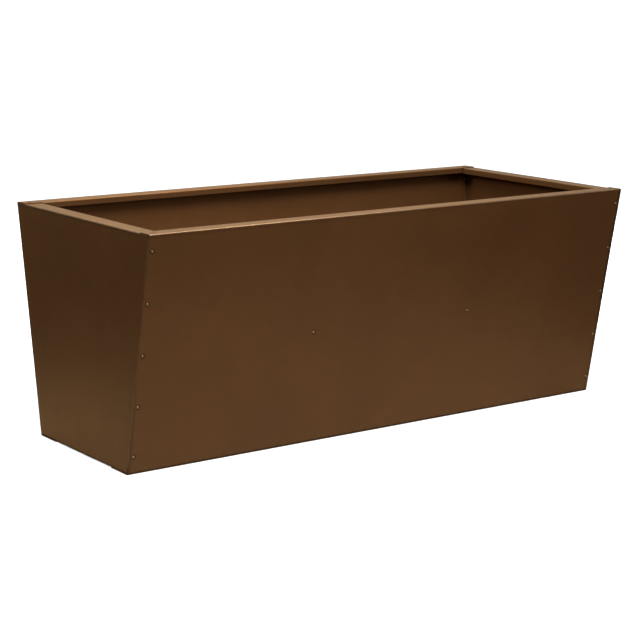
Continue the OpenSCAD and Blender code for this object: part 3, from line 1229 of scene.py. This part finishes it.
@dataclass
class EndPanel:
    """End panel: lip, rim, upright face, base flange and two seam flanges from one sheet."""

    end: End
    sizes: BedSizes = SIZES
    columns: int = 20
    course: float = 0.024
    swell: float = 0.0007

    def build(self, finishes: Finishes) -> None:
        """Fold, punch and dress the panel.

        Args:
            finishes: The finishes of the bed.
        """
        s, sign = self.sizes, self.end.sign
        bottom = s.inner_depth
        top_half = s.half_width(s.end_top, s.end_inset)
        start_x = sign * (s.length / 2 - s.end_base)
        mesh = start_sheet(Vector((start_x, -top_half, bottom)),
                           Vector((start_x, top_half, bottom)))
        bmesh.ops.subdivide_edges(mesh, edges=list(mesh.edges), cuts=self.columns - 1)
        brake = Brake(mesh, Vector((start_x, 0.0, bottom)), Vector((sign, 0.0, 0.0)), Z_AXIS,
                      top_half)
        square = math.pi / 2
        face = s.end_top - bottom - 2 * s.setback(square)
        brake.leg(s.end_base - s.setback(square))
        brake.fold(square)
        brake.leg(face, grid_lines(0.0, face, self.course, self._face_lines()))
        brake.fold(square)
        self._draw_in_sides(mesh, top_half)
        rim = s.rim - 2 * s.setback(square)
        rim_start = s.length / 2 - s.setback(square)
        brake.leg(rim, TAIL_PUNCH.lines(rim_start - s.rim_rivet[0]))
        lip_end = s.lip_ends[1]
        rim_lines = [line for flank in (-1, 1) for line in
                     (flank * lip_end, *TAIL_PUNCH.lines(flank * s.rim_rivet[1]))]
        for y in rim_lines:
            scribe(mesh, Y_AXIS * y, Y_AXIS, lambda centre: centre.z > s.end_top - s.fold)
        brake.half_span = lip_end
        brake.fold(square, LIP_WEAR_AND_HIGHLIGHT)
        brake.leg(s.lip - s.setback(square))
        for flank in (-1, 1):
            self._fold_seam_flange(mesh, flank)
        self._punch(mesh)
        self._let_swell(mesh)
        piece = finish_sheet(mesh, f"{self.end.value}_end_panel_sheet",
                             Vector((sign * s.length / 2, 0.0, s.height / 2)),
                             Vector((sign, 0.0, 0.0)), finishes.sheet_coats)
        hand_over(piece, f"{self.end.value}_end_panel")

    def _level(self, place: float) -> float:
        """Height of a place down the slope, on the leaning edge of the flat face."""
        s = self.sizes
        return s.on_face(1, 0.0, place, s.end_inset).z

    def _strip(self) -> tuple[float, float]:
        """Places down the slope between which the seam flanges run, clear of the notches."""
        s = self.sizes
        reach = s.end_inset / math.cos(s.lean)
        return reach + s.relief, s.slope - reach - s.corner_notch

    def _face_lines(self) -> list[float]:
        """Grid lines that the seam flanges and their holes need, from the lower fold up."""
        s = self.sizes
        start = s.inner_depth + s.fold
        holes = [line for place in s.seam_places for line in TAIL_PUNCH.lines(place)]
        return [self._level(place) - start for place in (*self._strip(), *holes)]

    def _draw_in_sides(self, mesh: BMesh, top_half: float) -> None:
        """Draw the sides in to the leaning outline, below the rim.

        Args:
            mesh: The panel, as wide as its rim all the way down.
            top_half: Half width of the rim.
        """
        for vert in mesh.verts:
            vert.co.y *= self.sizes.half_width(vert.co.z, self.sizes.end_inset) / top_half

    def _fold_seam_flange(self, mesh: BMesh, flank: int) -> None:
        """Fold one seam flange in behind its long panel.

        Args:
            mesh: The panel.
            flank: -1 for the front seam, 1 for the back one.
        """
        s, sign = self.sizes, self.end.sign
        first, last = self._strip()
        middle = s.on_face(flank, sign * s.length / 2, (first + last) / 2, s.end_inset)
        brake = Brake(mesh, middle, s.face_normal(flank), Vector((-sign, 0.0, 0.0)),
                      (last - first) / 2)
        brake.fold(math.pi / 2)
        flat_start = s.length / 2 - s.fold
        brake.leg(s.seam_flange - s.setback(math.pi / 2),
                  TAIL_PUNCH.lines(flat_start - s.seam_x))

    def _punch(self, mesh: BMesh) -> None:
        """Punch the holes of the seam flanges and the rim corners."""
        s, sign = self.sizes, self.end.sign
        for flank in (-1, 1):
            for place in s.seam_places:
                TAIL_PUNCH.strike(mesh, s.on_face(flank, sign * s.seam_x, place, s.inner_depth),
                                  s.face_normal(flank), X_AXIS)
            x, y = s.rim_rivet
            TAIL_PUNCH.strike(mesh, Vector((sign * x, flank * y, s.end_top)), Z_AXIS, X_AXIS)

    def _let_swell(self, mesh: BMesh) -> None:
        """Let the upright face swell slightly between its folds."""
        s, sign = self.sizes, self.end.sign
        for vert in mesh.verts:
            if abs(vert.co.x - sign * s.length / 2) < SNAP:
                half = s.half_width(vert.co.z, s.end_inset)
                share = max(-1.0, min(1.0, vert.co.y / half))
                rise = math.sin(math.pi * vert.co.z / s.height) ** 2
                vert.co.x -= sign * self.swell * rise * math.cos(math.pi / 2 * share) ** 2


@dataclass
class CrossBrace:
    """Brace across the bed: a strap with its long edges folded down and a tab at each end."""

    end: End
    sizes: BedSizes = SIZES
    course: float = 0.020

    def build(self, finishes: Finishes) -> None:
        """Fold, punch and dress the brace.

        Args:
            finishes: The finishes of the bed.
        """
        s = self.sizes
        x, level = self.end.sign * s.brace_x, s.brace_z
        tab_turn = math.pi / 2 + s.lean
        strap = s.brace_width / 2 - s.fold
        web = s.half_width(level, s.inner_depth) - s.setback(tab_turn)
        mesh = start_sheet(Vector((x - strap, -web, level)), Vector((x + strap, -web, level)))
        down = -Z_AXIS
        brake = Brake(mesh, Vector((x, -web, level)), Y_AXIS, down, strap)
        brake.leg(2 * web, grid_lines(0.0, 2 * web, self.course,
                                      (s.relief, 2 * web - s.relief)))
        tab = s.brace_tab - s.setback(tab_turn)
        for flank in (-1, 1):
            brake = Brake(mesh, Vector((x, flank * web, level)), Vector((0.0, flank, 0.0)), down,
                          strap)
            brake.fold(tab_turn)
            brake.leg(tab, TAIL_PUNCH.lines(s.brace_drop - s.setback(tab_turn)))
        for flank in (-1, 1):
            brake = Brake(mesh, Vector((x + flank * strap, 0.0, level)),
                          Vector((flank, 0.0, 0.0)), down, web - s.relief)
            brake.fold(math.pi / 2)
            brake.leg(s.brace_edge - s.setback(math.pi / 2))
        for place in (x - strap + SUPPORT, *TAIL_PUNCH.lines(x), x + strap - SUPPORT):
            scribe(mesh, X_AXIS * place, X_AXIS)
        for flank in (-1, 1):
            TAIL_PUNCH.strike(mesh, s.on_face(flank, x, s.brace_place, s.inner_depth),
                              s.face_normal(flank), X_AXIS)
        piece = finish_sheet(mesh, f"{self.end.value}_cross_brace_strap",
                             Vector((x, 0.0, level)), Z_AXIS, finishes.sheet_coats)
        hand_over(piece, f"{self.end.value}_cross_brace")


@dataclass
class FloorPanel:
    """Loose floor on the base flanges, with pressed drain holes."""

    sizes: BedSizes = SIZES
    pitch: float = 0.040

    def build(self, finishes: Finishes) -> None:
        """Cut, press and dress the floor.

        Args:
            finishes: The finishes of the bed.
        """
        s = self.sizes
        half_x = s.length / 2 - s.end_base - s.floor_gap
        half_y = s.half_width(s.inner_depth, s.sheet) - s.bend - s.floor_gap
        level = s.inner_depth + s.sheet
        mesh = start_sheet(Vector((-half_x, -half_y, level)), Vector((half_x, -half_y, level)))
        columns = [(i - (s.drain_columns - 1) / 2) * 2 * half_x / s.drain_columns
                   for i in range(s.drain_columns)]
        rows = [(j - (s.drain_rows - 1) / 2) * s.drain_row_pitch for j in range(s.drain_rows)]
        fixed_rows = [line + half_y for row in rows for line in DRAIN_PUNCH.lines(row)]
        brake = Brake(mesh, Vector((0.0, -half_y, level)), Y_AXIS, -Z_AXIS, half_x)
        brake.leg(2 * half_y, grid_lines(0.0, 2 * half_y, self.pitch, fixed_rows))
        fixed = [line for column in columns for line in DRAIN_PUNCH.lines(column)]
        for x in grid_lines(-half_x, half_x, self.pitch, fixed):
            scribe(mesh, X_AXIS * x, X_AXIS)
        for x in columns:
            for y in rows:
                DRAIN_PUNCH.strike(mesh, Vector((x, y, level)), Z_AXIS, X_AXIS)
        piece = finish_sheet(mesh, "floor_sheet", Vector((0.0, 0.0, level)), Z_AXIS,
                             finishes.sheet_coats)
        hand_over(piece, "floor_panel")


@dataclass(frozen=True)
class RivetShape:
    """Sizes of a set blind rivet and of the mandrel that stays in it.

    Levels are measured from the outer sheet's face. The mouth's start and end are shares of the
    head's height. Each point of the torn tip has a radius, a drop below the tip and its wear.
    """

    head_radius: float = 0.00375
    head_height: float = 0.0015
    shank_radius: float = 0.0020
    tail_radius: float = 0.0029
    tail_length: float = 0.0045
    tail_bulge: float = 0.8
    tail_neck: float = 0.28
    tail_steps: int = 6
    bore_radius: float = 0.00115
    grip: float = 0.00325
    seat: float = 0.00005
    press: float = 0.00020
    stem_radius: float = 0.0011
    knob_radius: float = 0.0017
    knob_length: float = 0.0016
    knob_steps: int = 6
    recess: float = 0.0005
    dome_steps: int = 7
    dome_inset: float = 0.0002
    mouth: float = 0.00018
    mouth_start: float = 0.72
    mouth_end: float = 0.93
    skirt: float = 0.00022
    edge_break: float = 0.0001
    torn_tip: tuple[tuple[float, float, float], ...] = (
        (0.0, 0.00022, 1.0), (0.00035, 0.00018, 1.0), (0.00070, 0.00002, 1.0),
        (0.00090, 0.0, 1.0), (0.00102, 0.0001, 0.6))
    tip_taper: float = 0.0003

    @property
    def tail_end(self) -> float:
        """Level of the end of the tail, from the outer sheet's face."""
        return -self.grip - self.seat - self.tail_length

    def body(self) -> Profile:
        """Profile of the rivet body.

        Returns:
            Radius, level and wear of each point, all the way round.
        """
        r, h, low = self.head_radius, self.head_height, self.seat - self.press
        dome = (r * r + h * h) / (2 * h)
        points = [(self.bore_radius, self.tail_end, 0.0),
                  (self.bore_radius, low + h * self.mouth_start, 0.6),
                  (self.bore_radius + self.mouth, low + h * self.mouth_end, 1.0)]
        crown = r - self.bore_radius - 2 * self.dome_inset
        for k in range(1, self.dome_steps + 1):
            x = self.bore_radius + self.dome_inset + crown * k / self.dome_steps
            points.append((x, low + h - dome + math.sqrt(dome * dome - x * x),
                           1.0 - k / (self.dome_steps + 1)))
        cut = self.edge_break
        points += [(r, low + self.skirt, 0.3), (r, low + cut, 0.1), (r - cut, low, 0.0),
                   (self.shank_radius + cut, low, 0.0), (self.shank_radius, low - cut, 0.0)]
        shoulder = -self.grip - self.seat
        bulge = self.tail_length * self.tail_bulge / 2
        points.append((self.shank_radius, shoulder, 0.0))
        for k in range(self.tail_steps + 1):
            angle = math.pi / 2 - math.pi * k / self.tail_steps
            out = max(math.cos(angle), self.tail_neck)
            points.append((self.tail_radius - bulge + bulge * out,
                           shoulder - bulge + bulge * math.sin(angle), 0.2))
        points.append((self.shank_radius, self.tail_end, 0.4))
        return points

    def stem(self) -> Profile:
        """Profile of the mandrel, from its torn tip to its knob.

        Returns:
            Radius, level and wear of each point, from pole to pole.
        """
        top = self.seat + self.head_height - self.recess - self.press
        points = [(radius, top - drop, rubbed) for radius, drop, rubbed in self.torn_tip]
        points += [(self.stem_radius, top - self.tip_taper, 0.0),
                   (self.stem_radius, self.tail_end, 0.0)]
        for k in range(self.knob_steps + 1):
            angle = math.pi / 2 * k / self.knob_steps
            points.append((self.knob_radius * math.cos(angle),
                           self.tail_end - self.knob_length * math.sin(angle), 0.0))
        return points


def lathe(mesh: BMesh, profile: Profile, place: Matrix, closed: bool, steps: int = 28) -> None:
    """Turn a profile about the local Z axis of a place.

    Args:
        mesh: Mesh that gets the turned shape.
        profile: Radius, level and wear of each point.
        place: Frame of the shape.
        closed: Whether the profile's last point joins its first.
        steps: Steps round the axis.
    """
    wear = mesh.verts.layers.float[WEAR_AND_SHADE]
    verts = []
    for radius, level, rubbed in profile:
        vert = mesh.verts.new(place @ Vector((radius, 0.0, level)))
        vert[wear] = rubbed
        verts.append(vert)
    pairs = list(zip(verts, verts[1:])) + ([(verts[-1], verts[0])] if closed else [])
    edges = [mesh.edges.new(pair) for pair in pairs]
    axis = (place.to_3x3() @ Z_AXIS).normalized()
    bmesh.ops.spin(mesh, geom=[*verts, *edges], cent=place.translation, axis=axis,
                   angle=2 * math.pi, steps=steps, use_merge=True, use_duplicate=False)


@dataclass
class RivetGroup:
    """Rivets of one seam, with the mandrels left in them."""

    name: str
    places: list[Matrix]
    shape: RivetShape = RivetShape()

    def build(self, finishes: Finishes) -> None:
        """Turn and dress the rivet bodies and the mandrels.

        Args:
            finishes: The finishes of the bed.
        """
        body = self._turn("rivet_bodies", self.shape.body(), True, finishes.rivet_coats)
        hand_over(body, f"{self.name}_rivets")
        stem = self._turn("mandrel_stems", self.shape.stem(), False, finishes.mandrel_coats)
        hand_over(stem, f"{self.name}_mandrels")

    def _turn(self, kind: str, profile: Profile, closed: bool,
              coats: Sequence[Material]) -> Object:
        """Turn one kind of part at all places.

        Args:
            kind: Last words of the piece's name.
            profile: Its profile.
            closed: Whether the profile is closed.
            coats: Its finish.

        Returns:
            The piece.
        """
        mesh = bmesh.new()
        mesh.verts.layers.float.new(WEAR_AND_SHADE)
        for place in self.places:
            lathe(mesh, profile, place, closed)
        bmesh.ops.remove_doubles(mesh, verts=mesh.verts, dist=MERGE)
        bmesh.ops.recalc_face_normals(mesh, faces=mesh.faces)
        return make_piece(mesh, f"{self.name}_{kind}", coats)


def facing(centre: Vector, out: Vector) -> Matrix:
    """Frame at a centre whose Z axis points out and whose X axis runs along the bed."""
    frame_axes = Matrix((X_AXIS, out.cross(X_AXIS), out)).transposed().to_4x4()
    return Matrix.Translation(centre) @ frame_axes


def rivet_groups(sizes: BedSizes) -> list[RivetGroup]:
    """All rivets of the bed, by seam.

    Args:
        sizes: Sizes of the bed.

    Returns:
        One group for each corner seam, for each side's braces and for the rim corners.
    """
    groups = []
    for side in Side:
        out = sizes.face_normal(side.sign)
        for end in End:
            places = [facing(sizes.on_face(side.sign, end.sign * sizes.seam_x, place), out)
                      for place in sizes.seam_places]
            groups.append(RivetGroup(f"{side.value}_{end.value}_seam", places))
        places = [facing(sizes.on_face(side.sign, end.sign * sizes.brace_x, sizes.brace_place),
                         out) for end in End]
        groups.append(RivetGroup(f"{side.value}_brace", places))
    x, y = sizes.rim_rivet
    corners = [facing(Vector((end.sign * x, side.sign * y, sizes.height)), Z_AXIS)
               for end in End for side in Side]
    groups.append(RivetGroup("rim_corner", corners))
    return groups


# Studio

class Gives(Enum):
    """What a soft box gives the coat: its highlight, plain fill light, or both."""

    BOTH = (True, True)
    HIGHLIGHT = (False, True)
    FILL = (True, False)


@dataclass(frozen=True)
class AreaLamp:
    """A soft box."""

    name: str
    place: tuple[float, float, float]
    aim: tuple[float, float, float]
    size: tuple[float, float]
    power: float
    gives: Gives = Gives.BOTH

    def build(self) -> None:
        """Hang the soft box and aim it."""
        data = bpy.data.lights.new(self.name, "AREA")
        data.shape = "RECTANGLE"
        data.size, data.size_y = self.size
        data.energy = self.power
        lamp = bpy.data.objects.new(self.name, data)
        lamp.location = self.place
        aim = Vector(self.aim) - Vector(self.place)
        lamp.rotation_euler = aim.to_track_quat("-Z", "Y").to_euler()
        lamp.visible_camera = False
        lamp.visible_diffuse, lamp.visible_glossy = self.gives.value
        bpy.context.scene.collection.objects.link(lamp)


@dataclass(frozen=True)
class Glow:
    """A bright part of the surroundings, such as a lit wall or a window."""

    towards: tuple[float, float, float]
    reach: float
    full: float
    strength: float

    def build(self, nodes: Nodes, direction: NodeSocket) -> NodeSocket:
        """Add the glow to the surroundings.

        Args:
            nodes: Nodes of the surroundings.
            direction: Direction that is looked in.

        Returns:
            The glow's brightness in that direction.
        """
        middle = Vector(self.towards).normalized()
        nearness = nodes.add("ShaderNodeVectorMath", {0: direction, 1: middle},
                             operation="DOT_PRODUCT").outputs["Value"]
        return nodes.ramp(nearness, math.cos(self.reach), math.cos(self.full), 0.0, self.strength)


@dataclass(frozen=True)
class Studio:
    """Pale floor, soft light and the photograph's camera.

    The floor's tones between fade_from and horizon_to are seen only in the bed's coat: a painted pool
    of light round the bed, dark further off, and a painted bright band towards the horizon.
    The camera's place is given in lengths of the bed.
    """

    floor_half: float = 60.0
    floor_tone: float = 1.0
    floor_roughness: float = 0.9
    end_cover: float = 0.010
    near_tone: float = 0.54
    far_tone: float = 0.03
    fade_centre: tuple[float, float, float] = (-0.16, -0.01, 0.0)
    fade_from: float = 0.52
    fade_to: float = 1.34
    horizon_tone: float = 0.30
    horizon_from: float = 2.0
    horizon_to: float = 4.5
    horizon: float = 0.09
    zenith: float = 0.60
    backdrop: Glow = Glow((0.35, 0.93, 0.10), math.radians(46), math.radians(0), 1.04)
    lit_wall: Glow = Glow((-0.10, -0.98, 0.12), math.radians(80), math.radians(20), 0.05)
    window: Glow = Glow((0.08, -0.98, 0.20), math.radians(16), math.radians(8), 4.4)
    left_wall: Glow = Glow((-0.93, 0.0, 0.36), math.radians(55), math.radians(10), 0.05)
    sun: float = 3.4
    sun_spread: float = math.radians(28)
    sun_from: tuple[float, float, float] = (-0.45, -0.60, 0.66)
    right_box: AreaLamp = AreaLamp("right soft box", (0.38, -0.20, 1.75),
                                   (-0.10, -0.20, 0.40), (0.20, 0.20), 45.0, Gives.HIGHLIGHT)
    left_box: AreaLamp = AreaLamp("left soft box", (-0.50, 0.10, 0.95),
                                  (0.61, 0.0, 0.40), (0.35, 0.35), 7.0)
    front_box: AreaLamp = AreaLamp("front soft box", (-0.40, -0.95, 1.65),
                                   (0.45, 0.20, 0.30), (0.9, 0.9), 16.0)
    back_box: AreaLamp = AreaLamp("back soft box", (1.9, 2.1, 1.3), (0.0, 0.0, 0.25),
                                  (1.4, 1.4), 70.0, Gives.FILL)
    azimuth: float = math.radians(-36.14)
    elevation: float = math.radians(9.52)
    roll: float = math.radians(0.45)
    distance: float = 3.236 * SIZES.length
    slide: float = -0.0173 * SIZES.length
    lift: float = 0.2800 * SIZES.length
    focal_pixels: float = 1795.9
    picture_pixels: float = 640.0
    film_width: float = 36.0
    shift_up: float = -0.1
    view_end: float = 500.0

    def build(self) -> None:
        """Set the floor, the light and the camera."""
        self._lay_floor()
        self._surround()
        self._light()
        self._set_camera()
        bpy.context.scene.view_settings.view_transform = "Standard"

    def _lay_floor(self) -> None:
        """Lay the pale floor, evenly white to the camera, with a painted pool of light round the bed
        that only the bed's coat reflects.
        """
        mesh = bmesh.new()
        bmesh.ops.create_grid(mesh, x_segments=1, y_segments=1, size=self.floor_half)
        material = bpy.data.materials.new("pale floor")
        material.use_nodes = True
        shader = material.node_tree.nodes["Principled BSDF"]
        nodes = Nodes(material.node_tree)
        place = nodes.add("ShaderNodeTexCoord").outputs["Object"]
        away = nodes.add("ShaderNodeVectorMath", {0: place, 1: self.fade_centre},
                         operation="DISTANCE").outputs["Value"]
        # Painted light: a pool of light round the bed and a bright band further off, seen only in
        # reflections
        painted_light_pool = nodes.ramp(away, self.fade_from, self.fade_to, self.near_tone, self.far_tone)
        horizon = nodes.ramp(away, self.horizon_from, self.horizon_to, 0.0, self.horizon_tone)
        painted_light_pool = nodes.math("ADD", painted_light_pool, horizon)
        seen = nodes.add("ShaderNodeLightPath").outputs["Is Camera Ray"]
        tone = nodes.add("ShaderNodeMix", {0: seen, 2: painted_light_pool, 3: self.floor_tone},
                         data_type="FLOAT").outputs[0]
        # Painted shade: the floor is black under the bed
        tone = nodes.math("MULTIPLY", tone, self._painted_shade_under_bed(nodes, place))
        nodes.feed(shader, "Base Color", tone)
        shader.inputs["Roughness"].default_value = self.floor_roughness
        shader.inputs["Specular IOR Level"].default_value = 0.0
        make_piece(mesh, "studio_floor", [material])

    def _painted_shade_under_bed(self, nodes: Nodes, place: NodeSocket) -> NodeSocket:
        """Paint the floor black under the bed, a painted shade that shows only through its holes and
        gaps.

        Args:
            nodes: Nodes of the floor's material.
            place: Place on the floor.

        Returns:
            1 on the open floor and 0 under the bed.
        """
        parts = nodes.split(place)
        covered = (SIZES.length / 2 - SIZES.end_base + self.end_cover,
                   SIZES.base_width / 2 - SIZES.sheet)
        inside = [nodes.math("LESS_THAN", nodes.math("ABSOLUTE", parts[k]), half)
                  for k, half in enumerate(covered)]
        return nodes.math("SUBTRACT", 1.0, nodes.math("MULTIPLY", *inside), clamp=True)

    def _surround(self) -> None:
        """Set the soft surroundings, with the backdrop, the lit walls and the window's glow."""
        world = bpy.data.worlds.new("studio")
        world.use_nodes = True
        world.node_tree.nodes.clear()
        nodes = Nodes(world.node_tree)
        towards = nodes.add("ShaderNodeTexCoord").outputs["Generated"]
        light = nodes.ramp(nodes.split(towards)["Z"], 0.0, 1.0, self.horizon, self.zenith)
        for glow in (self.backdrop, self.lit_wall, self.left_wall):
            light = nodes.math("ADD", light, glow.build(nodes, towards))
        diffuse = nodes.add("ShaderNodeLightPath").outputs["Is Diffuse Ray"]
        window = nodes.math("MULTIPLY", self.window.build(nodes, towards),
                            nodes.math("SUBTRACT", 1.0, diffuse))
        shader = nodes.add("ShaderNodeBackground", {"Color": (1.0, 1.0, 1.0, 1.0),
                                                    "Strength": nodes.math("ADD", light, window)})
        nodes.add("ShaderNodeOutputWorld", {"Surface": shader.outputs[0]})
        bpy.context.scene.world = world

    def _light(self) -> None:
        """Hang the broad key light and the soft boxes."""
        data = bpy.data.lights.new("overhead", "SUN")
        data.energy = self.sun
        data.angle = self.sun_spread
        lamp = bpy.data.objects.new("overhead", data)
        lamp.rotation_euler = Vector(self.sun_from).to_track_quat("Z", "Y").to_euler()
        bpy.context.scene.collection.objects.link(lamp)
        for box in (self.right_box, self.left_box, self.front_box, self.back_box):
            box.build()

    def _set_camera(self) -> None:
        """Set the camera at the photograph's angle."""
        back = Vector((math.sin(self.azimuth) * math.cos(self.elevation),
                       -math.cos(self.azimuth) * math.cos(self.elevation),
                       math.sin(self.elevation)))
        right = (-back).cross(Z_AXIS).normalized()
        up = back.cross(right)
        turned_right = right * math.cos(self.roll) + up * math.sin(self.roll)
        turned_up = up * math.cos(self.roll) - right * math.sin(self.roll)
        data = bpy.data.cameras.new("photo_camera")
        data.sensor_width = self.film_width
        data.lens = self.focal_pixels / self.picture_pixels * self.film_width
        data.shift_y = self.shift_up
        data.clip_end = self.view_end
        camera = bpy.data.objects.new("photo_camera", data)
        axes = Matrix((turned_right, turned_up, back)).transposed().to_4x4()
        place = back * self.distance + right * self.slide + up * self.lift
        camera.matrix_world = Matrix.Translation(place) @ axes
        bpy.context.scene.collection.objects.link(camera)
        bpy.context.scene.camera = camera


def main() -> None:
    """Build the bed and the studio in order."""
    logging.basicConfig(level=logging.INFO, format="%(name)s: %(message)s")
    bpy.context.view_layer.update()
    Studio().build()
    finishes = Finishes()
    for side in Side:
        LongPanel(side).build(finishes)
    for end in End:
        EndPanel(end).build(finishes)
    for end in End:
        CrossBrace(end).build(finishes)
    FloorPanel().build(finishes)
    for group in rivet_groups(SIZES):
        group.build(finishes)


if __name__ == "__main__":
    main()
